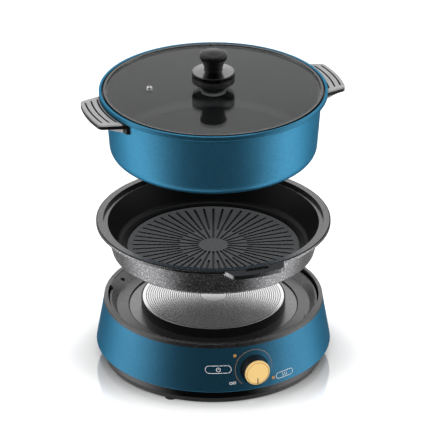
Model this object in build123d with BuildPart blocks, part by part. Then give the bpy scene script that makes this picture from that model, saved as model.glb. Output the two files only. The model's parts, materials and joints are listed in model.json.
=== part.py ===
from build123d import *
import os
from math import atan2, cos, degrees, radians, sin, sqrt, tan

# Electric cooker in three levels on one vertical axis: a heating base, a grill pan and a pot with
# a glass lid. Millimetres, +Z up, origin on the table under the middle of the base, control knob
# towards -Y, pot handles along X. The pan and the pot are drawn lifted off, one above the other.

# Fits
clearance = 0.2          # between fixed pieces that are put together
seat_gap = 0.2           # between a lifted piece and the face that it comes down on
running_gap = 0.05       # round the turning control shaft

# Heating base, from the table up
foot_height = 4.2
cover_height = 7.1
skirt_height = 12.0
shell_height = 56.2
rim_height = 5.0
shell_bottom_r = 147.3
shell_run = 9.8
skirt_inset = 7.8
cover_inset = 2.4
shell_wall = 1.8
shell_edge = 0.8
moulded_wall = 2.4
flange_reach = 21.0
foot_r = 8.0
foot_inset = 10.1
foot_count = 4

# Well in the top of the base
rim_width = 6.9
rim_lean = 0.6
well_depth = 14.5
well_run = 9.6
well_wall = 2.6
spigot_depth = 5.0
spigot_wall = 2.0
recess_half_angle = 30.0
recess_depth = 1.4
recess_height = 5.0
shield_thickness = 1.2
shield_overlap = 4.5
shield_step = 1.5
shield_inner_shelf = 15.4

# Hot plate and what carries it
shelf_width = 32.0
plate_drop = 3.4
plate_thickness = 12.0
plate_ring_wall = 1.2
plate_ring_drop = 0.7
plate_groove_first_r = 16.0
plate_groove_margin = 5.5
plate_groove_width = 1.0
plate_groove_depth = 0.35
plate_groove_count = 26
element_inset = 29.0
element_tube_r = 3.3
element_gap_angle = 40.0
element_end_drop = 14.0
boss_r = 12.0
boss_height = 10.0
bridge_width = 26.0
bridge_thickness = 1.6
bridge_lug = 14.0
plate_bolt_r = 3.0

# Control on the front wall
knob_below_rim = 30.8
knob_r = 17.4
knob_cap_r = 16.0
knob_depth = 15.4
knob_face_depth = 3.4
knob_cap_wall = 1.6
knob_pocket_gap = 1.0
knob_pocket_depth = 0.8
knob_wall_gap = 0.8
knob_wall = 2.4
knob_hub_r = 6.0
pointer_length = 8.0
pointer_width = 1.4
pointer_depth = 0.5
shaft_r = 3.0
bush_r = 5.0
bush_reach = 4.5
nut_thickness = 2.4
nut_r = 8.0
thermostat_width = 34.0
thermostat_height = 28.0
thermostat_depth = 22.0
thermostat_standoff = 4.0
lens_r = 2.1
lens_reach = 0.6
lens_depth = 2.5
lamp_length = 5.0
lamp_r = 1.5
power_lens_angle = -9.8
power_lens_below_rim = 10.5
heating_lens_angle = 9.7
heating_lens_rise = 9.2

# Rear inlet and inner wiring
inlet_rise = 22.7
inlet_width = 27.0
inlet_tall = 20.0
inlet_depth = 24.0
inlet_wall = 2.2
inlet_flange = 4.0
inlet_flange_depth = 2.2
pin_width = 2.0
pin_tall = 4.0
pin_spacing = 7.0
pin_mouth_gap = 5.2
pin_tab = 7.0
block_length = 38.0
block_width = 16.0
block_height = 15.0
block_inset = 69.3
wire_r = 1.3
fuse_r = 2.6
fuse_length = 18.0
fuse_gap = 23.0

# Grill pan
pan_lift = 66.1
pan_height = 42.6
pan_well_gap = 5.0
pan_bottom_fillet = 4.0
pan_flare = 20.2
pan_rim_width = 8.8
pan_rim_height = 5.6
pan_ledge_width = 5.6
pan_ledge_depth = 4.5
pan_wall = 3.0
pan_floor = 4.6
pan_floor_inset = 6.6
pan_inner_fillet = 7.0
ear_reach = 14.2
ear_end_half = 31.0
ear_taper = 20.0
ear_corner = 9.0
ear_slot_length = 31.0
ear_slot_width = 6.0
ear_slot_depth = 2.4
ear_slot_inset = 11.5
groove_count = 52
groove_width = 2.8
groove_depth = 1.4
groove_long_r = 18.0
groove_short_r = 42.0
groove_end_gap = 6.0
groove_ring_inset = 12.0

# Ring under each vessel that drops over the hot plate
locating_gap = 2.4
locating_width = 4.6
locating_height = 3.5

# Pot
pot_sink = 19.0
pot_lift = 113.6
pot_height = 86.3
pot_rim_reach = 7.3
pot_rim_height = 6.8
pot_rim_width = 3.4
pot_shoulder = 0.4
pot_mouth_gap = 3.4
pot_flare = 4.7
pot_wall = 3.4
pot_bottom_fillet = 14.7
pot_floor = 4.5
pot_inner_fillet = 12.0
pot_ledge_depth = 5.2

# Pot handles
handle_reach = 29.4
handle_end_half = 35.4
handle_taper = 13.9
handle_corner = 7.0
handle_cover_thickness = 2.4
handle_core_thickness = 4.2
handle_wall_gap = 1.4
handle_slot_width = 1.5
handle_slot_pitch = 7.7
handle_slot_edge = 5.5
handle_slot_margin = 6.5
handle_slot_count = 3
bracket_height = 8.0
bracket_thickness = 3.5
gusset_width = 3.6
gusset_reach = 22.0
handle_screw_r = 2.0
handle_screw_head_r = 3.8
handle_screw_head = 2.2
handle_screw_angle = 9.0
handle_screw_bite = 2.2

# Lid
lid_gap = 2.1
lid_band_wall = 0.6
lid_band_lip = 3.0
glass_thickness = 3.6
glass_rise = 1.6
collar_r = 15.2
collar_height = 6.8
guard_r = 26.4
guard_height = 18.0
guard_bowl_rise = 2.2
guard_band = 4.3
guard_rise = 2.8
guard_groove = 0.9
grip_r = 17.0
grip_shoulder_r = 16.1
grip_neck_r = 12.5
grip_foot_r = 11.5
grip_height = 23.9
grip_dome = 5.3
grip_shoulder_drop = 3.8
grip_neck_rise = 6.4
lid_screw_r = 2.5
lid_screw_head_r = 5.5
lid_screw_head = 2.0
seal_r = 15.2
seal_thickness = 3.0
vent_inset = 56.5
vent_angle = 158.7
vent_bore_r = 1.4
vent_tube_r = 2.3
vent_flange_r = 3.7
vent_flange = 1.0

# Screws under the base
screw_r = 2.0
screw_head_r = 3.8
screw_head = 2.2
screw_count = 4
screw_boss_r = 5.0
shield_screw_r = 1.5
shield_screw_head_r = 3.0
shield_screw_length = 7.0
shield_boss_r = 3.5

# Heights and radii that follow from the sizes above
cover_z = foot_height
skirt_z = cover_z + cover_height
shell_z = skirt_z + skirt_height
rim_z = shell_z + shell_height
rim_top_z = rim_z + rim_height
shelf_z = rim_top_z - well_depth
inner_shelf_z = shelf_z - shield_step
plate_top_z = rim_top_z - plate_drop
plate_bottom_z = plate_top_z - plate_thickness
bridge_top_z = plate_bottom_z - boss_height
shell_top_r = shell_bottom_r - shell_run
skirt_r = shell_bottom_r - skirt_inset
cover_r = skirt_r - cover_inset
flange_inner_r = shell_bottom_r - flange_reach
screw_circle_r = flange_inner_r + screw_boss_r
foot_circle_r = cover_r - foot_inset
well_top_r = shell_top_r - rim_width
well_bottom_r = well_top_r - well_run
plate_r = well_bottom_r - shelf_width
plate_ring_inner_r = plate_r + clearance
plate_ring_r = plate_ring_inner_r + plate_ring_wall
shield_step_r = plate_ring_r + shield_inner_shelf
shield_inner_r = plate_r - shield_overlap
shield_r = well_bottom_r + well_wall + shield_thickness
shield_boss_circle_r = well_bottom_r + well_wall + shield_boss_r
plate_groove_span = plate_r - plate_groove_margin - plate_groove_first_r
plate_groove_pitch = plate_groove_span / (plate_groove_count - 1)
element_r = plate_r - element_inset
element_z = plate_bottom_z - 0.2 * element_tube_r
knob_height = rim_z - knob_below_rim
knob_pocket_r = knob_r + knob_pocket_gap
power_lens_height = rim_z - power_lens_below_rim
heating_lens_height = shell_z + heating_lens_rise
inlet_height = shell_z + inlet_rise
block_y = shell_bottom_r - block_inset
block_z = cover_z + moulded_wall
fuse_x = boss_r + fuse_gap + fuse_length / 2
draft = degrees(atan2(shell_run, shell_height))

pan_z = plate_top_z + seat_gap + pan_lift
pan_top_z = pan_z + pan_height
pan_ledge_z = pan_top_z - pan_ledge_depth
pan_floor_z = pan_z + pan_floor
pan_bottom_r = well_top_r - pan_well_gap
pan_floor_r = pan_bottom_r - pan_floor_inset
pan_rim_r = pan_bottom_r + pan_flare
pan_ledge_r = pan_rim_r - pan_rim_width
pan_mouth_r = pan_ledge_r - pan_ledge_width
ear_r = pan_rim_r + ear_reach
ear_slot_r = ear_r - ear_slot_inset
groove_ring_r = pan_floor_r - groove_ring_inset
groove_end_r = groove_ring_r - groove_end_gap

pot_z = pan_ledge_z - pot_sink + pot_lift
pot_top_z = pot_z + pot_height
pot_ledge_z = pot_top_z - pot_ledge_depth
pot_wall_z = pot_top_z - pot_rim_height - pot_shoulder
pot_wall_bottom_r = pan_mouth_r - pot_mouth_gap
pot_wall_top_r = pot_wall_bottom_r + pot_flare
pot_rim_r = pot_wall_top_r + pot_rim_reach
pot_mouth_r = pot_rim_r - pot_rim_width
handle_top_z = pot_wall_z - clearance
handle_core_z = handle_top_z - handle_cover_thickness
bracket_top_z = handle_core_z - handle_core_thickness
bracket_bottom_z = bracket_top_z - bracket_height
handle_inner_r = pot_wall_top_r + handle_wall_gap
handle_r = handle_inner_r + handle_reach

lid_r = pot_mouth_r - lid_gap
vent_radius = lid_r - vent_inset
lid_z = pot_ledge_z + seat_gap
glass_z = lid_z + lid_band_wall
glass_r = lid_r - lid_band_wall - clearance
glass_edge_z = glass_z + glass_thickness
glass_top_z = glass_edge_z + glass_rise
guard_z = glass_top_z + collar_height
grip_z = guard_z + guard_height

locating_r = plate_ring_r + locating_gap


def shell_r(z):
    """Outer radius of the conical shell at a height."""
    return shell_bottom_r - shell_run * (z - shell_z) / shell_height


def pot_wall_r(z):
    """Outer radius of the pot's wall at a height."""
    low_z = pot_z + pot_bottom_fillet
    lean = pot_flare / (pot_wall_z - low_z)
    return pot_wall_bottom_r + lean * (z - low_z)


def wall_plane(angle, z):
    """Plane on the shell's outer face, degrees round from the front: x along the wall, z outwards."""
    turn = radians(angle)
    lean = radians(draft)
    out = (sin(turn) * cos(lean), -cos(turn) * cos(lean), sin(lean))
    place = (shell_r(z) * sin(turn), -shell_r(z) * cos(turn), z)
    return Plane(origin=place, x_dir=(cos(turn), sin(turn), 0), z_dir=out)


def glass_drop(radius):
    """How far the domed glass lies below its crown at a radius."""
    return glass_rise * (radius / glass_r) ** 2


def circle_at(builder, radius, z):
    """The round edge of a part that has a radius and lies at a height."""
    rounds = builder.edges().filter_by(GeomType.CIRCLE)
    return rounds.filter_by(lambda e: abs(e.radius - radius) + abs(e.arc_center.Z - z) < 0.01)


def wedge(end_x, end_half, taper, root_x, inset=0.0):
    """Corners of a plate that narrows outwards along +X."""
    root_half = end_half + (end_x - root_x) * tan(radians(taper))
    return [
        (root_x, inset - root_half),
        (end_x, inset - end_half),
        (end_x, end_half - inset),
        (root_x, root_half - inset),
    ]


def base_cone(inset):
    """Solid cone of the base's outside, drawn in by a distance."""
    with BuildPart() as cone:
        with BuildSketch(Plane.XZ):
            with BuildLine():
                Polyline(
                    (0, shell_z),
                    (shell_bottom_r - inset, shell_z),
                    (shell_top_r - inset, rim_z),
                    (0, rim_z),
                    close=True,
                )
            make_face()
        revolve(axis=Axis.Z)
    return cone.part


knob_floor_y = knob_pocket_depth - shell_r(knob_height + knob_pocket_r)
knob_plane = Plane(origin=(0, knob_floor_y, knob_height), x_dir=(1, 0, 0), z_dir=(0, -1, 0))
power_lens_plane = wall_plane(power_lens_angle, power_lens_height)
heating_lens_plane = wall_plane(heating_lens_angle, heating_lens_height)
lens_planes = [power_lens_plane, heating_lens_plane]
inlet_plane = wall_plane(180, inlet_height)

# Upright round seat behind the sloping wall, which the knob's pocket is cut into
seat_limit = base_cone(shell_wall / 2)
with BuildPart() as knob_seat:
    with BuildSketch(knob_plane.offset(-shell_wall)):
        Circle(knob_pocket_r + shell_wall)
    extrude(amount=knob_depth)
    add(seat_limit, mode=Mode.INTERSECT)

# Blue conical shell of the base, with its turned-in bottom flange and the openings in its wall
with BuildPart() as base_shell:
    with BuildSketch(Plane.XZ):
        with BuildLine():
            Polyline(
                (shell_bottom_r, shell_z),
                (shell_top_r, rim_z),
                (shell_top_r - shell_wall, rim_z),
                (shell_r(shell_z + shell_wall) - shell_wall, shell_z + shell_wall),
                (flange_inner_r, shell_z + shell_wall),
                (flange_inner_r, shell_z),
                close=True,
            )
        make_face()
    revolve(axis=Axis.Z)
    fillet(circle_at(base_shell, shell_bottom_r, shell_z), shell_edge)
    add(knob_seat.part)
    with BuildSketch(knob_plane):
        Circle(knob_pocket_r)
    extrude(amount=knob_depth, mode=Mode.SUBTRACT)
    with Locations(knob_plane):
        Cylinder(bush_r + clearance, 4 * shell_wall, mode=Mode.SUBTRACT)
    with Locations(*lens_planes):
        Cylinder(lens_r + clearance, 4 * shell_wall, mode=Mode.SUBTRACT)
    with Locations(inlet_plane):
        Box(inlet_width + 2 * clearance, inlet_tall + 2 * clearance, 6 * shell_wall, mode=Mode.SUBTRACT)
    with Locations((0, 0, shell_z)):
        with PolarLocations(screw_circle_r, screw_count):
            Cylinder(screw_r + clearance, 4 * shell_wall, mode=Mode.SUBTRACT)

# Black top ring: outer bead, conical wall of the well, spigot inside the shell, screw bosses
with BuildPart() as base_rim:
    spigot_r = shell_top_r - shell_wall - clearance
    pocket_r = well_bottom_r + well_wall + well_run * (rim_z - shelf_z) / well_depth
    with BuildSketch(Plane.XZ):
        with BuildLine():
            Polyline(
                (shell_top_r, rim_z),
                (shell_top_r - rim_lean, rim_top_z),
                (well_top_r, rim_top_z),
                (well_bottom_r, shelf_z),
                (well_bottom_r + well_wall, shelf_z),
                (min(pocket_r, spigot_r - spigot_wall), rim_z),
                (spigot_r - spigot_wall, rim_z),
                (spigot_r - spigot_wall, rim_z - spigot_depth),
                (spigot_r, rim_z - spigot_depth),
                (spigot_r, rim_z),
                close=True,
            )
        make_face()
    revolve(axis=Axis.Z)
    top_edges = base_rim.faces().filter_by(Axis.Z).sort_by(Axis.Z)[-1].edges()
    fillet(top_edges, 0.3 * rim_height)
    # Shallow recesses on the left and the right, with a step at each end
    recess_x = 2 * well_top_r
    recess_y = recess_x * tan(radians(recess_half_angle))
    for end_x in (-recess_x, recess_x):
        with BuildSketch(Plane.XY.offset(rim_top_z)):
            Circle(well_top_r + recess_depth)
            Circle(well_bottom_r, mode=Mode.SUBTRACT)
            with BuildLine():
                Polyline((0, 0), (end_x, -recess_y), (end_x, recess_y), close=True)
            make_face(mode=Mode.INTERSECT)
        extrude(amount=-recess_height, mode=Mode.SUBTRACT)
    with BuildSketch(Plane.XY.offset(shelf_z)):
        with PolarLocations(shield_boss_circle_r, screw_count, start_angle=45):
            Circle(shield_boss_r)
    extrude(amount=rim_z - shelf_z)
    with BuildSketch(Plane.XY.offset(shelf_z)):
        with PolarLocations(shield_boss_circle_r, screw_count, start_angle=45):
            Circle(shield_screw_r + clearance)
    extrude(amount=shield_screw_length, mode=Mode.SUBTRACT)

# Dark band under the shell, with a floor that takes the screws
with BuildPart() as lower_skirt:
    with BuildSketch(Plane.XY.offset(skirt_z)):
        Circle(skirt_r)
        Circle(flange_inner_r, mode=Mode.SUBTRACT)
    extrude(amount=moulded_wall)
    with BuildSketch(Plane.XY.offset(skirt_z)):
        Circle(skirt_r)
        Circle(skirt_r - moulded_wall, mode=Mode.SUBTRACT)
    extrude(amount=skirt_height)
    with BuildSketch(Plane.XY.offset(skirt_z)):
        with PolarLocations(screw_circle_r, screw_count):
            Circle(screw_boss_r)
    extrude(amount=skirt_height)
    with BuildSketch(Plane.XY.offset(skirt_z)):
        with PolarLocations(screw_circle_r, screw_count):
            Circle(screw_r + clearance)
    extrude(amount=skirt_height, mode=Mode.SUBTRACT)

# Bottom cover: floor with vent slots, low wall and screw bosses
with BuildPart() as bottom_cover:
    with BuildSketch(Plane.XY.offset(cover_z)):
        Circle(cover_r)
    extrude(amount=moulded_wall)
    with BuildSketch(Plane.XY.offset(cover_z)):
        Circle(cover_r)
        Circle(cover_r - moulded_wall, mode=Mode.SUBTRACT)
        with PolarLocations(screw_circle_r, screw_count):
            Circle(screw_boss_r)
    extrude(amount=cover_height)
    with BuildSketch(Plane.XY.offset(cover_z)):
        with PolarLocations(screw_circle_r, screw_count):
            Circle(screw_r + clearance)
    extrude(amount=cover_height, mode=Mode.SUBTRACT)
    with BuildSketch(Plane.XY.offset(cover_z)):
        with PolarLocations(screw_circle_r, screw_count):
            Circle(screw_head_r + clearance)
    extrude(amount=screw_head, mode=Mode.SUBTRACT)
    with BuildSketch(Plane.XY.offset(cover_z)):
        with PolarLocations(0.5 * cover_r, 12, start_angle=15):
            SlotOverall(0.2 * cover_r, 4)
    extrude(amount=moulded_wall, mode=Mode.SUBTRACT)

with BuildPart() as rubber_feet:
    with BuildSketch():
        with PolarLocations(foot_circle_r, foot_count, start_angle=45):
            Circle(foot_r)
    extrude(amount=foot_height, taper=-6)

with BuildPart() as cover_screws:
    with BuildSketch(Plane.XY.offset(cover_z)):
        with PolarLocations(screw_circle_r, screw_count):
            Circle(screw_head_r)
    extrude(amount=screw_head)
    with BuildSketch(Plane.XY.offset(cover_z)):
        with PolarLocations(screw_circle_r, screw_count):
            Circle(screw_r)
    extrude(amount=shell_z + 2 * shell_wall - cover_z)

# Stepped dish round the plate, with four lugs under the rim's bosses
with BuildPart() as heat_shield:
    with BuildSketch(Plane.XZ):
        with BuildLine():
            Polyline(
                (shield_r, shelf_z),
                (shield_step_r, shelf_z),
                (shield_step_r, inner_shelf_z),
                (shield_inner_r, inner_shelf_z),
                (shield_inner_r, inner_shelf_z - shield_thickness),
                (shield_step_r + shield_thickness, inner_shelf_z - shield_thickness),
                (shield_step_r + shield_thickness, shelf_z - shield_thickness),
                (shield_r, shelf_z - shield_thickness),
                close=True,
            )
        make_face()
    revolve(axis=Axis.Z)
    with BuildSketch(Plane.XY.offset(shelf_z)):
        with PolarLocations(shield_boss_circle_r, screw_count, start_angle=45):
            Circle(shield_boss_r + shield_thickness)
    extrude(amount=-shield_thickness)
    with BuildSketch(Plane.XY.offset(shelf_z)):
        with PolarLocations(shield_boss_circle_r, screw_count, start_angle=45):
            Circle(shield_screw_r + clearance)
    extrude(amount=-shield_thickness, mode=Mode.SUBTRACT)

with BuildPart() as shield_screws:
    with BuildSketch(Plane.XY.offset(shelf_z - shield_thickness)):
        with PolarLocations(shield_boss_circle_r, screw_count, start_angle=45):
            Circle(shield_screw_head_r)
    extrude(amount=-shield_thickness)
    with BuildSketch(Plane.XY.offset(shelf_z - shield_thickness)):
        with PolarLocations(shield_boss_circle_r, screw_count, start_angle=45):
            Circle(shield_screw_r)
    extrude(amount=shield_screw_length)

# Cast plate: fine rings on top, groove for the element and a threaded boss below
with BuildPart() as hot_plate:
    with BuildSketch(Plane.XY.offset(plate_bottom_z)):
        Circle(plate_r)
    extrude(amount=plate_thickness)
    fillet(hot_plate.faces().sort_by(Axis.Z)[-1].edges(), 0.08 * plate_thickness)
    with BuildSketch(Plane.XY.offset(plate_top_z)):
        for ring in reversed(range(plate_groove_count)):
            ring_r = plate_groove_first_r + ring * plate_groove_pitch
            Circle(ring_r + plate_groove_width)
            Circle(ring_r, mode=Mode.SUBTRACT)
        Circle(plate_r - plate_groove_width, mode=Mode.INTERSECT)
    extrude(amount=-plate_groove_depth, mode=Mode.SUBTRACT)
    with BuildSketch(Plane.XZ):
        with Locations((element_r, element_z)):
            Circle(element_tube_r + clearance)
    revolve(axis=Axis.Z, mode=Mode.SUBTRACT)
    with BuildSketch(Plane.XY.offset(plate_bottom_z)):
        Circle(boss_r)
    extrude(amount=-boss_height)
    with BuildSketch(Plane.XY.offset(bridge_top_z)):
        Circle(plate_bolt_r + clearance)
    extrude(amount=boss_height, mode=Mode.SUBTRACT)

with BuildPart() as plate_ring:
    with BuildSketch(Plane.XY.offset(inner_shelf_z)):
        Circle(plate_ring_r)
        Circle(plate_ring_inner_r, mode=Mode.SUBTRACT)
    extrude(amount=plate_top_z - plate_ring_drop - inner_shelf_z)

# Tubular element: an open ring whose two ends turn down at the rear
with BuildPart() as heating_element:
    start = 90 + element_gap_angle / 2
    sweep_angle = 360 - element_gap_angle
    ends = [
        (element_r * cos(radians(a)), element_r * sin(radians(a)))
        for a in (start, start + sweep_angle)
    ]
    with BuildLine():
        CenterArc((0, 0, element_z), element_r, start, sweep_angle)
    with BuildSketch(Plane(origin=(*ends[0], element_z), z_dir=(-ends[0][1], ends[0][0], 0))):
        Circle(element_tube_r)
    sweep()
    for x, y in ends:
        with Locations((x, y, element_z)):
            Sphere(element_tube_r)
        with BuildSketch(Plane.XY.offset(element_z)):
            with Locations((x, y)):
                Circle(element_tube_r)
        extrude(amount=-element_end_drop)
    element_end_z = element_z - element_end_drop

# Strap under the plate, welded to the dish at both ends
with BuildPart() as plate_bridge:
    lug_z = inner_shelf_z - shield_thickness
    leg_x = shield_inner_r + bridge_thickness
    with BuildSketch(Plane.XZ):
        with Locations((0, bridge_top_z - bridge_thickness / 2)):
            Rectangle(2 * leg_x, bridge_thickness)
        with Locations((leg_x, bridge_top_z - bridge_thickness), (-leg_x, bridge_top_z - bridge_thickness)):
            Rectangle(
                bridge_thickness,
                lug_z - bridge_top_z + bridge_thickness,
                align=(Align.CENTER, Align.MIN),
            )
        with Locations((leg_x + bridge_lug / 2, lug_z), (-leg_x - bridge_lug / 2, lug_z)):
            Rectangle(bridge_lug, bridge_thickness, align=(Align.CENTER, Align.MAX))
    extrude(amount=bridge_width / 2, both=True)
    with BuildSketch(Plane.XY.offset(bridge_top_z)):
        Circle(plate_bolt_r + clearance)
    extrude(amount=-bridge_thickness, mode=Mode.SUBTRACT)

with BuildPart() as plate_bolt:
    with BuildSketch(Plane.XY.offset(bridge_top_z - bridge_thickness)):
        RegularPolygon(1.8 * plate_bolt_r, 6)
    extrude(amount=-1.3 * plate_bolt_r)
    with BuildSketch(Plane.XY.offset(bridge_top_z - bridge_thickness)):
        Circle(plate_bolt_r)
    extrude(amount=bridge_thickness + 0.8 * boss_height)

# Thermostat behind the front wall, its threaded bush through the wall
with BuildPart() as thermostat:
    body_w = -shell_wall - thermostat_standoff
    with BuildSketch(knob_plane.offset(body_w)):
        RectangleRounded(thermostat_width, thermostat_height, 3)
    extrude(amount=-thermostat_depth)
    with BuildSketch(knob_plane.offset(body_w)):
        Circle(1.6 * bush_r)
    extrude(amount=thermostat_standoff - 2 * clearance)
    with BuildSketch(knob_plane.offset(body_w)):
        Circle(bush_r)
    extrude(amount=bush_reach - body_w)
    tab_y = -0.3 * thermostat_height
    with BuildSketch(knob_plane.offset(body_w - thermostat_depth)):
        with Locations((-0.3 * thermostat_width, tab_y), (0.3 * thermostat_width, tab_y)):
            Rectangle(5, 0.8)
    extrude(amount=-pin_tab)
    with BuildSketch(knob_plane.offset(bush_reach)):
        Circle(shaft_r + running_gap)
    extrude(amount=body_w - bush_reach - thermostat_depth / 2, mode=Mode.SUBTRACT)

with BuildPart() as thermostat_nut:
    with BuildSketch(knob_plane.offset(clearance)):
        RegularPolygon(nut_r, 6)
        Circle(bush_r + clearance, mode=Mode.SUBTRACT)
    extrude(amount=nut_thickness)

# Control knob: black cup with a hub on the shaft, and a gold cap with a pointer line on its plug
with BuildPart() as knob_skirt:
    cup_top = knob_depth - knob_face_depth
    plug_top = knob_depth - knob_cap_wall - clearance
    knob_taper = degrees(atan2(knob_r - knob_cap_r, cup_top - knob_wall_gap))
    with BuildSketch(knob_plane.offset(knob_wall_gap)):
        Circle(knob_r)
    extrude(amount=cup_top - knob_wall_gap, taper=knob_taper)
    with BuildSketch(knob_plane.offset(cup_top)):
        Circle(knob_cap_r - knob_wall)
    extrude(amount=plug_top - cup_top)
    with BuildSketch(knob_plane.offset(knob_wall_gap)):
        Circle(knob_cap_r - knob_wall)
    extrude(amount=cup_top - knob_wall - knob_wall_gap, mode=Mode.SUBTRACT)
    with BuildSketch(knob_plane.offset(bush_reach + knob_wall_gap)):
        Circle(knob_hub_r)
    extrude(amount=cup_top - bush_reach - knob_wall_gap)
    with BuildSketch(knob_plane.offset(bush_reach + knob_wall_gap)):
        Circle(shaft_r + running_gap)
    extrude(amount=plug_top - bush_reach - 2 * knob_wall_gap, mode=Mode.SUBTRACT)

with BuildPart() as knob_face:
    with BuildSketch(knob_plane.offset(cup_top)):
        Circle(knob_cap_r)
    extrude(amount=knob_face_depth)
    fillet(knob_face.faces().sort_by(SortBy.DISTANCE)[-1].edges(), 0.35 * knob_face_depth)
    with BuildSketch(knob_plane.offset(cup_top)):
        Circle(knob_cap_r - knob_wall + clearance)
    extrude(amount=knob_face_depth - knob_cap_wall, mode=Mode.SUBTRACT)
    with BuildSketch(knob_plane.offset(knob_depth)):
        with Locations((0, -knob_cap_r + 0.62 * pointer_length)):
            SlotOverall(pointer_length, pointer_width, rotation=90)
    extrude(amount=-pointer_depth, mode=Mode.SUBTRACT)

with BuildPart() as knob_shaft:
    shaft_back = body_w - thermostat_depth / 2 + 2 * clearance
    with BuildSketch(knob_plane.offset(shaft_back)):
        Circle(shaft_r)
    extrude(amount=plug_top - 2 * knob_wall_gap - shaft_back)


# Amber lens through the wall, with a flange inside
def lens_at(plane):
    """Solid of one indicator lens on a plane of the wall."""
    with BuildPart() as lens:
        with BuildSketch(plane.offset(-shell_wall - lens_depth)):
            Circle(lens_r)
        extrude(amount=shell_wall + lens_depth + lens_reach)
        fillet(lens.faces().sort_by(Axis((0, 0, 0), plane.z_dir))[-1].edges(), 0.8 * lens_reach)
        with BuildSketch(plane.offset(-shell_wall - lens_depth)):
            Circle(1.5 * lens_r)
        extrude(amount=lens_depth - 2 * clearance)
    return lens.part


power_lens = lens_at(power_lens_plane)
heating_lens = lens_at(heating_lens_plane)

with BuildPart() as indicator_lamps:
    for plane in lens_planes:
        with BuildSketch(plane.offset(-shell_wall - lens_depth)):
            Circle(lamp_r)
        extrude(amount=-lamp_length)

# Three flat pins of the rear inlet, with tabs inside the base
pin_places = [(-pin_spacing, -pin_tall / 2), (pin_spacing, -pin_tall / 2), (0, pin_tall / 2)]
with BuildPart() as inlet_pins:
    with BuildSketch(inlet_plane.offset(inlet_flange_depth - pin_mouth_gap)):
        with Locations(*pin_places):
            Rectangle(pin_width, pin_tall)
    extrude(amount=pin_mouth_gap - inlet_flange_depth - inlet_depth - pin_tab)

# Socket of the rear inlet, its flange trimmed to the sloping wall
flange_limit = base_cone(-clearance)
with BuildPart() as power_inlet:
    with BuildSketch(inlet_plane.offset(inlet_flange_depth)):
        RectangleRounded(inlet_width + 2 * inlet_flange, inlet_tall + 2 * inlet_flange, inlet_flange)
    extrude(amount=-2 * inlet_flange_depth)
    add(flange_limit, mode=Mode.SUBTRACT)
    with BuildSketch(inlet_plane.offset(inlet_flange_depth)):
        Rectangle(inlet_width, inlet_tall)
    extrude(amount=-inlet_depth - inlet_flange_depth)
    with BuildSketch(inlet_plane.offset(inlet_flange_depth)):
        RectangleRounded(inlet_width - 2 * inlet_wall, inlet_tall - 2 * inlet_wall, inlet_wall)
    extrude(amount=inlet_wall - inlet_depth - inlet_flange_depth, mode=Mode.SUBTRACT)
    add(inlet_pins.part, mode=Mode.SUBTRACT)

with BuildPart() as terminal_block:
    with BuildSketch(Plane.XY.offset(block_z)):
        with Locations((0, block_y)):
            Rectangle(block_length, block_width)
    extrude(amount=block_height)
    with BuildSketch(Plane.XY.offset(block_z + block_height)):
        with Locations((0, block_y)):
            with GridLocations(block_length / 3, 1, 3, 1):
                Circle(2.4)
    extrude(amount=-0.4 * block_height, mode=Mode.SUBTRACT)

with BuildPart() as thermal_fuse:
    with BuildSketch(Plane.YZ.offset(fuse_x - fuse_length / 2)):
        with Locations((0, bridge_top_z + fuse_r)):
            Circle(fuse_r)
    extrude(amount=fuse_length)
    with BuildSketch(Plane.XY.offset(bridge_top_z)):
        with Locations((fuse_x, 0)):
            Rectangle(0.4 * fuse_length, 4 * fuse_r)
    extrude(amount=fuse_r)


# Insulated wires: inlet to block, block to thermostat, thermostat and block to the element's ends
tab_w = -inlet_depth - pin_tab - clearance
block_back_y = block_y + block_width / 2 + clearance
block_front_y = block_y - block_width / 2 - clearance
wire_z = block_z + 0.4 * block_height
thermostat_tab_w = body_w - thermostat_depth - pin_tab - clearance
thermostat_left = knob_plane.from_local_coords((-0.3 * thermostat_width, tab_y, thermostat_tab_w))
thermostat_right = knob_plane.from_local_coords((0.3 * thermostat_width, tab_y, thermostat_tab_w))
inlet_left = inlet_plane.from_local_coords((*pin_places[0], tab_w))
inlet_right = inlet_plane.from_local_coords((*pin_places[1], tab_w))
element_left = Vector(*ends[0], element_end_z - clearance)
element_right = Vector(*ends[1], element_end_z - clearance)
side_x = 0.5 * element_r
half_block = block_length / 3
routes = [
    [
        inlet_left,
        inlet_left - Vector(0, 9, 2),
        Vector(inlet_left.X, block_back_y + 10, wire_z),
        Vector(inlet_left.X, block_back_y, wire_z),
    ],
    [
        inlet_right,
        inlet_right - Vector(0, 9, 2),
        Vector(inlet_right.X, block_back_y + 10, wire_z),
        Vector(inlet_right.X, block_back_y, wire_z),
    ],
    [
        Vector(-half_block, block_front_y, wire_z),
        Vector(-half_block, block_front_y - 12, wire_z),
        Vector(-side_x, 0, wire_z),
        thermostat_left + Vector(0, 14, -8),
        thermostat_left,
    ],
    [
        element_right,
        element_right - Vector(0, 0, 14),
        Vector(side_x, 0, wire_z + 10),
        thermostat_right + Vector(0, 14, -8),
        thermostat_right,
    ],
    [
        Vector(0, block_front_y, wire_z),
        Vector(0, block_front_y - 10, wire_z),
        element_left - Vector(0, 0, 20),
        element_left,
    ],
]
with BuildPart() as wiring:
    for points in routes:
        with BuildLine() as route:
            FilletPolyline(*points, radius=4 * wire_r)
        with BuildSketch(Plane(origin=route.line @ 0, z_dir=route.line % 0)):
            Circle(wire_r)
        sweep(path=route.line)

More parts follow.
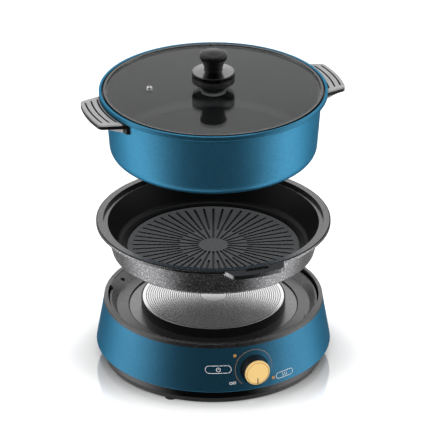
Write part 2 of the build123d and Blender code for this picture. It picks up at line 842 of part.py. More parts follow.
# Grill pan: one casting with a rim, a lid ledge, two grip ears and a sunburst of floor grooves
with BuildPart() as grill_pan:
    under_rim_z = pan_top_z - pan_rim_height
    neck_r = pan_mouth_r + pan_wall
    with BuildSketch(Plane.XZ):
        with BuildLine():
            Polyline(
                (0, pan_z),
                (pan_bottom_r, pan_z),
                (neck_r, under_rim_z - pan_wall),
                (pan_rim_r - pan_wall, under_rim_z),
                (pan_rim_r, under_rim_z + 0.3 * pan_rim_height),
                (pan_rim_r, pan_top_z),
                (pan_ledge_r, pan_top_z),
                (pan_ledge_r, pan_ledge_z),
                (pan_mouth_r, pan_ledge_z),
                (pan_floor_r, pan_floor_z),
                (0, pan_floor_z),
                close=True,
            )
        make_face()
    revolve(axis=Axis.Z)
    fillet(circle_at(grill_pan, pan_bottom_r, pan_z), pan_bottom_fillet)
    fillet(circle_at(grill_pan, pan_floor_r, pan_floor_z), pan_inner_fillet)
    # The ears stand out to the front and the rear, level with the rim
    for ear_y in (-1, 1):
        ear_plane = Plane(origin=(0, 0, pan_top_z), x_dir=(0, ear_y, 0), z_dir=(0, 0, 1))
        with BuildSketch(ear_plane) as ear:
            with BuildLine():
                Polyline(*wedge(ear_r + 1, ear_end_half, ear_taper, pan_ledge_r + 1), close=True)
            make_face()
            Circle(ear_r, mode=Mode.INTERSECT)
            fillet(ear.vertices().sort_by(Axis.X)[-2:], ear_corner)
        extrude(amount=-pan_rim_height)
        with BuildSketch(ear_plane):
            with Locations((ear_slot_r, 0)):
                SlotOverall(ear_slot_length, ear_slot_width, rotation=90)
        extrude(amount=-ear_slot_depth, mode=Mode.SUBTRACT)
    fillet(grill_pan.faces().sort_by(Axis.Z)[-1].outer_wire().edges(), 0.2 * pan_rim_height)
    # Long and short grooves take turns round the floor, inside one ring
    with BuildSketch(Plane.XY.offset(pan_floor_z)):
        for inner_r, start in ((groove_long_r, 0), (groove_short_r, 360 / groove_count)):
            with PolarLocations((inner_r + groove_end_r) / 2, groove_count // 2, start_angle=start):
                SlotOverall(groove_end_r - inner_r, groove_width)
    extrude(amount=-groove_depth, mode=Mode.SUBTRACT)
    with BuildSketch(Plane.XY.offset(pan_floor_z)):
        Circle(groove_ring_r + groove_width)
        Circle(groove_ring_r, mode=Mode.SUBTRACT)
    extrude(amount=-groove_depth, mode=Mode.SUBTRACT)
    with BuildSketch(Plane.XY.offset(pan_z)):
        Circle(locating_r + locating_width)
        Circle(locating_r, mode=Mode.SUBTRACT)
    extrude(amount=-locating_height)

# Pot: rolled rim with a lid ledge inside, wall that leans out, rounded bottom
handle_screw_z = (bracket_top_z + bracket_bottom_z) / 2
handle_screw_planes = []
for turn in (handle_screw_angle, -handle_screw_angle):
    out = Vector(cos(radians(turn)), sin(radians(turn)), 0)
    place = out * pot_wall_r(handle_screw_z) + Vector(0, 0, handle_screw_z)
    handle_screw_planes.append(Plane(origin=place, z_dir=out))

with BuildPart() as pot_shell:
    pot_floor_z = pot_z + pot_floor
    inner_floor_r = pot_wall_r(pot_floor_z) - pot_wall
    with BuildSketch(Plane.XZ):
        with BuildLine():
            Polyline(
                (0, pot_z),
                (pot_wall_r(pot_z), pot_z),
                (pot_wall_top_r, pot_wall_z),
                (pot_rim_r, pot_top_z - pot_rim_height),
                (pot_rim_r, pot_top_z),
                (pot_mouth_r, pot_top_z),
                (pot_mouth_r, pot_ledge_z),
                (pot_wall_r(pot_ledge_z) - pot_wall, pot_ledge_z),
                (inner_floor_r, pot_floor_z),
                (0, pot_floor_z),
                close=True,
            )
        make_face()
    revolve(axis=Axis.Z)
    fillet(circle_at(pot_shell, pot_wall_r(pot_z), pot_z), pot_bottom_fillet)
    fillet(circle_at(pot_shell, inner_floor_r, pot_floor_z), pot_inner_fillet)
    fillet(pot_shell.faces().filter_by(Axis.Z).sort_by(Axis.Z)[-1].edges(), 0.35 * pot_rim_width)
    fillet(circle_at(pot_shell, pot_rim_r, pot_top_z - pot_rim_height), 0.3 * pot_rim_height)
    with BuildSketch(Plane.XY.offset(pot_z)):
        Circle(locating_r + locating_width)
        Circle(locating_r, mode=Mode.SUBTRACT)
    extrude(amount=-locating_height)
    for plane in handle_screw_planes:
        with Locations(plane):
            Cylinder(handle_screw_r + clearance, 2 * handle_screw_bite, mode=Mode.SUBTRACT)
    mirror(about=Plane.YZ, mode=Mode.INTERSECT)

# Right handle: grey cover with three long slots, over a black core with its wall bracket
slot_first_r = handle_r - handle_slot_edge
handle_root_x = 0.85 * pot_wall_bottom_r
with BuildPart() as right_handle_cover:
    with BuildSketch(Plane.XY.offset(handle_core_z)) as cover_outline:
        with BuildLine():
            Polyline(*wedge(handle_r + 1, handle_end_half, handle_taper, handle_root_x), close=True)
        make_face()
        Circle(handle_r, mode=Mode.INTERSECT)
        Circle(handle_inner_r, mode=Mode.SUBTRACT)
        fillet(cover_outline.vertices().sort_by(Axis.X)[-2:], handle_corner)
    extrude(amount=handle_cover_thickness)
    fillet(right_handle_cover.faces().sort_by(Axis.Z)[-1].edges(), 0.3 * handle_cover_thickness)
    with BuildSketch(Plane.XY.offset(handle_core_z)):
        for slot in range(handle_slot_count):
            slot_r = slot_first_r - slot * handle_slot_pitch
            Circle(slot_r + handle_slot_width / 2)
            Circle(slot_r - handle_slot_width / 2, mode=Mode.SUBTRACT)
        with BuildLine():
            Polyline(
                *wedge(handle_r + 1, handle_end_half, handle_taper, handle_root_x, handle_slot_margin),
                close=True,
            )
        make_face(mode=Mode.INTERSECT)
    extrude(amount=handle_cover_thickness, mode=Mode.SUBTRACT)

with BuildPart() as right_handle_bracket:
    inner_top_r = pot_wall_r(bracket_top_z) + clearance
    inner_bottom_r = pot_wall_r(bracket_bottom_z) + clearance
    with BuildSketch(Plane.XZ):
        with BuildLine():
            Polyline(
                (inner_top_r, bracket_top_z),
                (inner_top_r + bracket_thickness, bracket_top_z),
                (inner_bottom_r + bracket_thickness, bracket_bottom_z),
                (inner_bottom_r, bracket_bottom_z),
                close=True,
            )
        make_face()
    revolve(axis=Axis.Z)
    with BuildSketch(Plane.XY.offset(bracket_bottom_z)):
        with BuildLine():
            Polyline(*wedge(handle_r, handle_end_half, handle_taper, handle_root_x), close=True)
        make_face()
    extrude(amount=bracket_height, mode=Mode.INTERSECT)
    add(extrude(cover_outline.sketch, amount=-handle_core_thickness, mode=Mode.PRIVATE))
    for gusset_y in (-handle_end_half, handle_end_half):
        near_y = handle_end_half - gusset_width / 2
        gusset_x = sqrt((inner_top_r + bracket_thickness / 2) ** 2 - near_y**2)
        with BuildSketch(Plane.XZ.offset(-gusset_y)):
            with BuildLine():
                Polyline(
                    (gusset_x, bracket_bottom_z),
                    (gusset_x, bracket_top_z),
                    (gusset_x + gusset_reach, bracket_top_z),
                    close=True,
                )
            make_face()
        extrude(amount=gusset_width / 2, both=True)
    for plane in handle_screw_planes:
        with Locations(plane):
            Cylinder(handle_screw_r + clearance, 4 * bracket_thickness, mode=Mode.SUBTRACT)

with BuildPart() as left_handle_cover:
    mirror(right_handle_cover.part, about=Plane.YZ)

with BuildPart() as left_handle_bracket:
    mirror(right_handle_bracket.part, about=Plane.YZ)

with BuildPart() as handle_screws:
    head_w = bracket_thickness + 3 * clearance
    for plane in handle_screw_planes:
        with BuildSketch(plane.offset(head_w)):
            Circle(handle_screw_head_r)
        extrude(amount=handle_screw_head)
        with BuildSketch(plane.offset(head_w)):
            Circle(handle_screw_r)
        extrude(amount=clearance - head_w - handle_screw_bite)
    mirror(about=Plane.YZ)

# Lid: shallow domed glass in a steel band, with holes for the knob and the steam vent
vent_place = (vent_radius * cos(radians(vent_angle)), vent_radius * sin(radians(vent_angle)))
with BuildPart() as lid_glass:
    with BuildSketch(Plane.XZ):
        with BuildLine():
            half_r = glass_r / 2
            half_rise = glass_rise - glass_drop(half_r)
            ThreePointArc(
                (0, glass_z + glass_rise), (half_r, glass_z + half_rise), (glass_r, glass_z)
            )
            Line((glass_r, glass_z), (glass_r, glass_edge_z))
            ThreePointArc(
                (glass_r, glass_edge_z), (half_r, glass_edge_z + half_rise), (0, glass_top_z)
            )
            Line((0, glass_top_z), (0, glass_z + glass_rise))
        make_face()
    revolve(axis=Axis.Z)
    with Locations((0, 0, glass_top_z)):
        Cylinder(lid_screw_r + clearance, 4 * glass_thickness, mode=Mode.SUBTRACT)
    with Locations((*vent_place, glass_top_z)):
        Cylinder(vent_tube_r + clearance, 4 * glass_thickness, mode=Mode.SUBTRACT)

with BuildPart() as lid_band:
    band_top_z = glass_edge_z + clearance + lid_band_wall
    with BuildSketch(Plane.XZ):
        with BuildLine():
            Polyline(
                (lid_r, lid_z),
                (lid_r, band_top_z),
                (lid_r - lid_band_lip, band_top_z),
                (lid_r - lid_band_lip, band_top_z - lid_band_wall),
                (lid_r - lid_band_wall, band_top_z - lid_band_wall),
                (lid_r - lid_band_wall, glass_z),
                (lid_r - lid_band_lip, glass_z),
                (lid_r - lid_band_lip, lid_z),
                close=True,
            )
        make_face()
    revolve(axis=Axis.Z)

with BuildPart() as lid_collar:
    with BuildSketch(Plane.XY.offset(glass_top_z)):
        Circle(collar_r)
        Circle(lid_screw_r + clearance, mode=Mode.SUBTRACT)
    extrude(amount=collar_height)

# Heat guard: a bowl under a wide disc, parted by a groove
with BuildPart() as lid_guard:
    guard_top_z = guard_z + guard_height
    disc_z = guard_top_z - guard_rise - guard_band
    with BuildSketch(Plane.XZ):
        with BuildLine():
            Polyline(
                (lid_screw_r + clearance, guard_z),
                (collar_r, guard_z),
                (guard_r, guard_z + guard_bowl_rise),
                (guard_r, disc_z - guard_groove),
                (guard_r - guard_groove, disc_z - guard_groove),
                (guard_r - guard_groove, disc_z),
                (guard_r, disc_z),
                (guard_r, disc_z + guard_band),
                (grip_foot_r + guard_groove, guard_top_z),
                (lid_screw_r + clearance, guard_top_z),
                close=True,
            )
        make_face()
    revolve(axis=Axis.Z)
    fillet(circle_at(lid_guard, guard_r, disc_z + guard_band), 0.3 * guard_band)
    fillet(circle_at(lid_guard, guard_r, guard_z + guard_bowl_rise), 0.5 * guard_bowl_rise)

# Grip: waisted stem under a low dome
with BuildPart() as lid_grip:
    widest_z = grip_z + grip_height - grip_dome
    with BuildSketch(Plane.XZ):
        with BuildLine():
            Line((0, grip_z), (grip_foot_r, grip_z))
            Spline(
                (grip_foot_r, grip_z),
                (grip_neck_r, grip_z + grip_neck_rise),
                (grip_shoulder_r, widest_z - grip_shoulder_drop),
                (grip_r, widest_z),
                tangents=((-0.3, 1), (0, 1)),
            )
            Spline(
                (grip_r, widest_z),
                (grip_r * cos(radians(45)), widest_z + grip_dome * sin(radians(45))),
                (0, grip_z + grip_height),
                tangents=((0, 1), (-1, 0)),
            )
            Line((0, grip_z + grip_height), (0, grip_z))
        make_face()
    revolve(axis=Axis.Z)
    with BuildSketch(Plane.XY.offset(grip_z)):
        Circle(lid_screw_r + clearance)
    extrude(amount=0.6 * grip_height, mode=Mode.SUBTRACT)

seal_top_z = glass_z + glass_rise - glass_drop(seal_r)
with BuildPart() as lid_seal:
    with BuildSketch(Plane.XY.offset(seal_top_z)):
        Circle(seal_r)
        Circle(lid_screw_r + clearance, mode=Mode.SUBTRACT)
    extrude(amount=-seal_thickness)
    with BuildSketch(Plane.XY.offset(seal_top_z - seal_thickness)):
        Circle(lid_screw_head_r + clearance)
    extrude(amount=lid_screw_head, mode=Mode.SUBTRACT)

# Screw up into the grip, its head sunk in the seal
with BuildPart() as lid_screw:
    screw_seat_z = seal_top_z - seal_thickness + lid_screw_head
    with BuildSketch(Plane.XY.offset(screw_seat_z)):
        Circle(lid_screw_head_r)
    extrude(amount=-lid_screw_head)
    with BuildSketch(Plane.XY.offset(screw_seat_z)):
        Circle(lid_screw_r)
    extrude(amount=grip_z + 0.5 * grip_height - screw_seat_z)

# Eyelet that lets steam out through the glass
with BuildPart() as steam_vent:
    vent_top_z = glass_top_z - glass_drop(vent_radius) + clearance
    vent_bottom_z = vent_top_z - glass_thickness - 2 * clearance
    with BuildSketch(Plane.XY.offset(vent_bottom_z - vent_flange)):
        with Locations(vent_place):
            Circle(vent_tube_r)
    extrude(amount=vent_top_z - vent_bottom_z + 2 * vent_flange)
    with BuildSketch(Plane.XY.offset(vent_top_z)):
        with Locations(vent_place):
            Circle(vent_flange_r)
    extrude(amount=vent_flange, taper=30)
    with BuildSketch(Plane.XY.offset(vent_bottom_z)):
        with Locations(vent_place):
            Circle(vent_flange_r)
    extrude(amount=-vent_flange)
    with BuildSketch(Plane.XY.offset(vent_bottom_z - vent_flange)):
        with Locations(vent_place):
            Circle(vent_bore_r)
    extrude(amount=vent_top_z - vent_bottom_z + 2 * vent_flange, mode=Mode.SUBTRACT)

pieces = {
    "base_shell": base_shell.part,
    "base_rim": base_rim.part,
    "lower_skirt": lower_skirt.part,
    "bottom_cover": bottom_cover.part,
    "rubber_feet": rubber_feet.part,
    "cover_screws": cover_screws.part,
    "heat_shield": heat_shield.part,
    "shield_screws": shield_screws.part,
    "hot_plate": hot_plate.part,
    "plate_ring": plate_ring.part,
    "heating_element": heating_element.part,
    "plate_bridge": plate_bridge.part,
    "plate_bolt": plate_bolt.part,
    "thermostat": thermostat.part,
    "thermostat_nut": thermostat_nut.part,
    "power_lens": power_lens,
    "heating_lens": heating_lens,
    "indicator_lamps": indicator_lamps.part,
    "power_inlet": power_inlet.part,
    "inlet_pins": inlet_pins.part,
    "terminal_block": terminal_block.part,
    "thermal_fuse": thermal_fuse.part,
    "wiring": wiring.part,
    "knob_skirt": knob_skirt.part,
    "knob_face": knob_face.part,
    "knob_shaft": knob_shaft.part,
    "grill_pan": grill_pan.part,
    "pot_shell": pot_shell.part,
    "left_handle_cover": left_handle_cover.part,
    "right_handle_cover": right_handle_cover.part,
    "left_handle_bracket": left_handle_bracket.part,
    "right_handle_bracket": right_handle_bracket.part,
    "handle_screws": handle_screws.part,
    "lid_glass": lid_glass.part,
    "lid_band": lid_band.part,
    "lid_collar": lid_collar.part,
    "lid_guard": lid_guard.part,
    "lid_grip": lid_grip.part,
    "lid_seal": lid_seal.part,
    "lid_screw": lid_screw.part,
    "steam_vent": steam_vent.part,
}
os.makedirs("parts", exist_ok=True)
for name, piece in pieces.items():
    piece.label = name
    export_step(piece, f"parts/{name}.step")
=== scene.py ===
import json
from math import cos, pi, radians, sin, sqrt

import bpy
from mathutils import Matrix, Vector


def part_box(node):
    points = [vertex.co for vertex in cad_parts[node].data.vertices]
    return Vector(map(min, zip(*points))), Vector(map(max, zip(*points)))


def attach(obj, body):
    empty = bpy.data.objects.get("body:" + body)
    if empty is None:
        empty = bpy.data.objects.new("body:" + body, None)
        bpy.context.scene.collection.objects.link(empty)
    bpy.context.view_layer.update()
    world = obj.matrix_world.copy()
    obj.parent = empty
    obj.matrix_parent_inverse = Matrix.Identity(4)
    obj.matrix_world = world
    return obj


# Looks of the three-level cooker: a finish for every solid, the printed panel, light and camera.
# Metres, in the frame of the solids: +Z up, the control knob towards -Y.
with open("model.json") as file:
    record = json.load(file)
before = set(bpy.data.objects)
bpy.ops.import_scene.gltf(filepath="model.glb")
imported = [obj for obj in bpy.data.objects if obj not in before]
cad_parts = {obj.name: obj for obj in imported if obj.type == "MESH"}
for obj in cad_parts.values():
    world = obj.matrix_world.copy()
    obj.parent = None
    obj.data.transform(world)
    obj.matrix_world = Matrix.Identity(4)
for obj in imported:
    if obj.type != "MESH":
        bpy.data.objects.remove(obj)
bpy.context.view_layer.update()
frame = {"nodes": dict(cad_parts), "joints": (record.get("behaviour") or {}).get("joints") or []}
solids = frame["nodes"]
MM = 0.001

# View of the photograph
IMAGE_PIXELS = 430
FOCAL_PIXELS = 3712
AXIS_PIXEL = 213.35
SENSOR_MM = 36.0
CAMERA_AZIMUTH = radians(-20.75)
CAMERA_ELEVATION = radians(26.577)
CAMERA_DISTANCE = 4.6093
AIM_HEIGHT = 0.1933
to_front = Vector((sin(CAMERA_AZIMUTH), -cos(CAMERA_AZIMUTH), 0))
to_right = Vector((cos(CAMERA_AZIMUTH), sin(CAMERA_AZIMUTH), 0))
middle = Vector((0, 0, AIM_HEIGHT))

# Softboxes: name, place, size and watts
LAMPS = (
    ("top_box", Vector((0, 0, 1.9)) - to_front * 0.15, (1.2, 1.2), 26),
    ("left_box", middle - to_right * 1.3 + Vector((0, 0, 0.25)), (0.9, 1.2), 3),
    ("right_box", middle + to_right * 1.3 + Vector((0, 0, 0.25)), (0.9, 1.2), 3),
    ("front_box", middle + to_front * 2.0 + Vector((0, 0, 1.2)), (1.2, 0.8), 42),
)

# Studio: plain fill, and what polished faces mirror: dark ahead, bright beside, less of it behind
STUDIO_FILL = 0.22
STUDIO_AHEAD = 0.02
STUDIO_BESIDE = 1.5
LOSS_BEHIND = 0.24
LOSS_BELOW = 0.56

# Cosines over which these parts of the studio run into each other
STEEP_TO_LEVEL = (0.98, 0.85)
FRONT_TO_SIDE = (0.85, 0.0)
SIDE_TO_BACK = (-0.1, -0.8)
LEVEL_TO_BELOW = (0.05, -0.4)

# Floor: half width, depth as a share of it, and the glow it shows the camera away from the object
FLOOR_REACH = 6.0
FLOOR_DEPTH = 0.68
FLOOR_SPAN = (0.140, 0.250)
FLOOR_GLOW = 0.6

# Boxes of the solids, by which finishes and prints are placed
wall_low, wall_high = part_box("base_shell")
rim_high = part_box("base_rim")[1]
plate_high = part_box("hot_plate")[1]
face_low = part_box("knob_face")[0]
pan_low, pan_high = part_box("grill_pan")
pot_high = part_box("pot_shell")[1]
handle_low, handle_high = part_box("right_handle_cover")
guard_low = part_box("lid_guard")[0]
knob_joint = next(joint for joint in frame["joints"] if joint["name"] == "knob_turn")
KNOB_Z = knob_joint["pos_m"][2]

# Front wall of the base: radius at its foot, and how far it runs in and rises
WALL_LOW_R = 147.3 * MM
WALL_RUN = 9.8 * MM
WALL_RISE = wall_high.z - wall_low.z
WALL_SLOPE = sqrt(WALL_RUN**2 + WALL_RISE**2)

# Soft edges between finishes, to each side, and the cosines over which a face counts as turned
BLUR = 0.3 * MM
FINE_BLUR = 0.2 * MM
INWARD = (-0.15, -0.30)
UPWARD = (0.50, 0.65)
DOWNWARD = (-0.85, -0.95)
SIDEWAYS = (0.985, 0.995)

# Base and knob: the rim's shaded crown, where one finish of a piece meets another, and the painted
# shade lines at the heat shield's step and near the knob cap's edge
CROWN_WIDTH = 8.0 * MM
CROWN_DROP = 3.0 * MM
SHIELD_STEP_R = 105.8 * MM
STEP_SHADE_WIDTH = 1.6 * MM
POINTER_HALF = 0.8 * MM
POINTER_TOP = 6.8 * MM
CAP_SHADE_R = 14.3 * MM
CAP_SHADE_LINE = 1.2 * MM

# Pan, pot and lid: the same, with the painted shade on the pot's lip and along the pan's rim edge, as
# depths below a rim, radii, or heights above a piece's foot
TOP_DEPTH = 0.9 * MM
LEDGE_DEPTH = 6.0 * MM
GRILL_R = 107.0 * MM
GROOVE_HEIGHT = 7.7 * MM
RIM_SHADE_LINE = 1.8 * MM
EAR_GAP = 0.5 * MM
LIP_DEPTH = 8.0 * MM
EDGE_DEPTH = 2.2 * MM
GUARD_BAND = (10.7 * MM, 15.3 * MM)

# Pot handles: their slots, in from the outer end, and the core under the cover
SLOT_COUNT = 3
SLOT_EDGE = 5.5 * MM
SLOT_PITCH = 7.7 * MM
SLOT_LINE = 2.3 * MM
SLOT_REACH = 28.9 * MM
SLOT_TAPER = 0.2475
CORE_DEPTH = 4.3 * MM

# Printed marks on the front wall, along the wall from under the knob and up its slope
PRINT_LIFT = 0.12 * MM
PRINT_LINE = 0.56 * MM
SCALE_PLACE = (-0.6 * MM, 1.3 * MM)
SCALE_R = 24.2 * MM
SCALE_LINE = 0.36 * MM
SCALE_START = -138
SCALE_END = 101
SCALE_STEPS = 72
POWER_PILL = (-45.4 * MM, 3.95 * MM, 32.0 * MM, 9.6 * MM)
HEAT_PILL = (41.6 * MM, -15.75 * MM, 25.4 * MM, 7.6 * MM)
OFF_PLACE = (-28.6 * MM, -14.85 * MM)
OFF_HEIGHT = 3.6 * MM
CAPITAL_SHARE = 0.7

# Signs in the outlines, as counts and shares of the outline's height, with the ring's arc in degrees
RING_SHARE = 0.27
RING_DROP = 0.2 * MM
RING_ARC = (35, 325)
BAR_SHARE = 0.36
WAVE_COUNT = 3
WAVE_STEPS = 16
WAVE_PITCH = 0.36
WAVE_SWING = 0.07
WAVE_RISE = 0.56

# Blues, as linear colour
POT_DARK = (0.042, 0.215, 0.370)
POT_LIGHT = (0.073, 0.315, 0.510)
# Darker pair for the pot's lip, as painted shade
LIP_SHADE_DARK = (0.030, 0.150, 0.255)
LIP_SHADE_LIGHT = (0.050, 0.220, 0.350)
SHELL_DARK = (0.034, 0.160, 0.275)
SHELL_LIGHT = (0.058, 0.235, 0.385)
BLUE_EDGE = (0.25, 0.55, 0.75)


def grey(level):
    """A colour without a tint."""
    return (level, level, level)


class Nodes:
    """Makes and links the nodes of one tree."""

    def __init__(self, tree):
        self.tree = tree

    def node(self, kind, **settings):
        """A new node with these settings."""
        made = self.tree.nodes.new(kind)
        for setting, value in settings.items():
            setattr(made, setting, value)
        return made

    def feed(self, socket, value):
        """Links a socket to an output, or sets its plain value."""
        if isinstance(value, bpy.types.NodeSocket):
            self.tree.links.new(value, socket)
        else:
            socket.default_value = value

    def math(self, operation, first, second=0.0):
        """Arithmetic on one or two numbers."""
        made = self.node("ShaderNodeMath", operation=operation)
        self.feed(made.inputs[0], first)
        self.feed(made.inputs[1], second)
        return made.outputs[0]

    def both(self, first, second):
        """Share where the two hold together."""
        return self.math("MULTIPLY", first, second)

    def either(self, first, second):
        """Share where one or the other holds."""
        return self.math("MAXIMUM", first, second)

    def away(self, value, mark):
        """Distance of a value from a mark."""
        return self.math("ABSOLUTE", self.math("SUBTRACT", value, mark))

    def span(self, value, low, high, to_low=0.0, to_high=1.0):
        """Runs smoothly from one value to another as the input passes from low to high."""
        made = self.node("ShaderNodeMapRange", interpolation_type="SMOOTHSTEP")
        for socket, number in zip(made.inputs[:5], (value, low, high, to_low, to_high)):
            self.feed(socket, number)
        return made.outputs[0]

    def past(self, value, mark, blur=BLUR):
        """1 past a mark and 0 short of it, with a soft edge."""
        return self.span(value, mark - blur, mark + blur)

    def short(self, value, mark, blur=BLUR):
        """1 short of a mark and 0 past it, with a soft edge."""
        return self.span(value, mark + blur, mark - blur)

    def blend(self, share, first, second):
        """Number between two numbers."""
        made = self.node("ShaderNodeMix", data_type="FLOAT")
        self.feed(made.inputs[0], share)
        self.feed(made.inputs[2], first)
        self.feed(made.inputs[3], second)
        return made.outputs[0]

    def vector(self, operation, first, second=(0, 0, 0)):
        """Outputs of an operation on one or two vectors."""
        made = self.node("ShaderNodeVectorMath", operation=operation)
        self.feed(made.inputs[0], first)
        self.feed(made.inputs[1], second)
        return made.outputs

    def dot(self, first, second):
        """Cosine between two unit vectors."""
        return self.vector("DOT_PRODUCT", first, second)["Value"]

    def flat(self, place):
        """A place with its height taken off."""
        return self.vector("MULTIPLY", place, (1, 1, 0))[0]

    def bearing(self, place):
        """Level way from the upright axis to a place."""
        return self.vector("NORMALIZE", self.flat(place))[0]

    def parts(self, place):
        """The three coordinates of a place."""
        split = self.node("ShaderNodeSeparateXYZ")
        self.feed(split.inputs[0], place)
        return split.outputs

    def seen(self):
        """1 for what the camera sees, itself or through glass."""
        path = self.node("ShaderNodeLightPath")
        return self.either(path.outputs["Is Camera Ray"], path.outputs["Is Transmission Ray"])


class Finish(Nodes):
    """A node material on one Principled shader, fed by the piece's own coordinates."""

    def __init__(self, name, **values):
        self.material = bpy.data.materials.new(name)
        self.material.use_nodes = True
        super().__init__(self.material.node_tree)
        self.shader = self.tree.nodes["Principled BSDF"]
        source = self.node("ShaderNodeTexCoord")
        self.place = source.outputs["Object"]
        self.facing = source.outputs["Normal"]
        for socket, value in values.items():
            self.put(socket.replace("_", " "), value)

    def put(self, socket, value):
        """Feeds one of the shader's own sockets."""
        if isinstance(value, tuple):
            value = (*value, 1)
        self.feed(self.shader.inputs[socket], value)

    def noise(self, size, detail=2.0, stretch=(1, 1, 1)):
        """Soft noise whose lumps have about that size."""
        scaled = self.node("ShaderNodeMapping")
        self.feed(scaled.inputs["Vector"], self.place)
        scaled.inputs["Scale"].default_value = stretch
        made = self.node("ShaderNodeTexNoise")
        self.feed(made.inputs["Vector"], scaled.outputs[0])
        made.inputs["Scale"].default_value = 1 / size
        made.inputs["Detail"].default_value = detail
        return made.outputs["Fac"]

    def cells(self, size):
        """A random value for each grain of about that size."""
        made = self.node("ShaderNodeTexVoronoi")
        self.feed(made.inputs["Vector"], self.place)
        made.inputs["Scale"].default_value = 1 / size
        split = self.node("ShaderNodeSeparateColor")
        self.feed(split.inputs[0], made.outputs["Color"])
        return split.outputs[0]

    def mix(self, share, first, second):
        """Colour between two colours."""
        made = self.node("ShaderNodeMix", data_type="RGBA")
        self.feed(made.inputs[0], share)
        for socket, color in ((made.inputs[6], first), (made.inputs[7], second)):
            self.feed(socket, (*color, 1) if isinstance(color, tuple) else color)
        return made.outputs[2]

    def bump(self, height, depth, strength=1.0):
        """Shades the surface as if it had this height."""
        made = self.node("ShaderNodeBump")
        made.inputs["Strength"].default_value = strength
        made.inputs["Distance"].default_value = depth
        self.feed(made.inputs["Height"], height)
        self.put("Normal", made.outputs[0])

    def height(self):
        """Height of the shaded point."""
        return self.parts(self.place)[2]

    def radius(self):
        """Distance of the shaded point from the upright axis."""
        return self.vector("LENGTH", self.flat(self.place))["Value"]

    def turned_in(self):
        """1 where a face looks towards the upright axis."""
        return self.span(self.dot(self.facing, self.bearing(self.place)), *INWARD)

    def turned_up(self):
        """1 where a face looks up."""
        return self.span(self.dot(self.facing, (0, 0, 1)), *UPWARD)

    def turned_down(self):
        """1 where a face looks down."""
        return self.span(self.dot(self.facing, (0, 0, 1)), *DOWNWARD)

    def gloss(self, size, smooth, rough):
        """Roughness that drifts between two values."""
        self.put("Roughness", self.span(self.noise(size), 0.3, 0.7, smooth, rough))


def moulded(name, dark, light, roughness=0.45, grain=0.7 * MM, depth=0.03 * MM, **values):
    """Moulded plastic or rubber: two close tones, a fine spark-eroded grain and uneven gloss."""
    finish = Finish(name, **values)
    finish.put("Base Color", finish.mix(finish.noise(14 * MM, 3), dark, light))
    finish.gloss(6 * MM, roughness - 0.06, roughness + 0.06)
    finish.bump(finish.noise(grain, 1), depth, 0.6)
    return finish.material


def metal(name, dark, light, roughness=0.3, stretch=(1, 1, 12), depth=0.02 * MM):
    """Drawn or brushed metal: noise, stretched into streaks, in the tone and in the gloss."""
    finish = Finish(name, Metallic=1.0)
    streak = finish.noise(2.2 * MM, 4, stretch)
    finish.put("Base Color", finish.mix(streak, dark, light))
    finish.put("Roughness", finish.span(streak, 0.2, 0.8, roughness - 0.08, roughness + 0.1))
    finish.bump(streak, depth, 0.4)
    return finish.material


def blue_tone(finish, dark, light):
    """Blue metallic paint: fine flakes over a slow drift of the tone."""
    flake = finish.math("MULTIPLY", finish.cells(0.9 * MM), 0.6)
    drift = finish.math("MULTIPLY", finish.noise(40 * MM), 0.5)
    return finish.mix(finish.math("ADD", flake, drift), dark, light)


def blue_paint():
    """Paint on the base's shell."""
    finish = Finish(
        "blue_shell", Metallic=0.9, Specular_Tint=BLUE_EDGE, Coat_Weight=0.15, Coat_Roughness=0.4
    )
    finish.put("Base Color", blue_tone(finish, SHELL_DARK, SHELL_LIGHT))
    finish.put("Roughness", finish.span(finish.cells(0.7 * MM), 0, 1, 0.30, 0.44))
    finish.bump(finish.noise(0.8 * MM, 2), 0.03 * MM, 0.5)
    return finish.material


def blue_pot():
    """Blue coat outside the pot and over its edge, deeper on its lip as painted shade, black non-stick
    coat inside.
    """
    finish = Finish("blue_coat", Coat_Weight=0.15, Coat_Roughness=0.45, Specular_IOR_Level=0.25)
    height = finish.height()
    below_rim = finish.short(height, pot_high.z - TOP_DEPTH)
    edge_z = pot_high.z - EDGE_DEPTH
    below_edge = finish.span(height, edge_z, edge_z - 0.5 * MM)
    wall = finish.both(finish.turned_in(), below_edge)
    floor = finish.both(finish.turned_up(), below_rim)
    inside = finish.either(wall, floor)
    # The lip's deeper blue is painted shade.
    lip = finish.past(height, pot_high.z - LIP_DEPTH)
    body_tone = blue_tone(finish, POT_DARK, POT_LIGHT)
    blue = finish.mix(lip, body_tone, blue_tone(finish, LIP_SHADE_DARK, LIP_SHADE_LIGHT))
    fleck = finish.span(finish.cells(0.9 * MM), 0.9, 0.98)
    black_tone = finish.mix(fleck, (0.010, 0.010, 0.011), grey(0.05))
    finish.put("Base Color", finish.mix(inside, blue, black_tone))
    finish.put("Specular Tint", finish.mix(inside, BLUE_EDGE, grey(1.0)))
    finish.put("Metallic", finish.math("SUBTRACT", 0.9, finish.math("MULTIPLY", inside, 0.9)))
    finish.put("Roughness", finish.span(finish.cells(0.8 * MM), 0, 1, 0.32, 0.48))
    finish.bump(finish.noise(1.0 * MM, 2), 0.04 * MM, 0.6)
    return finish.material


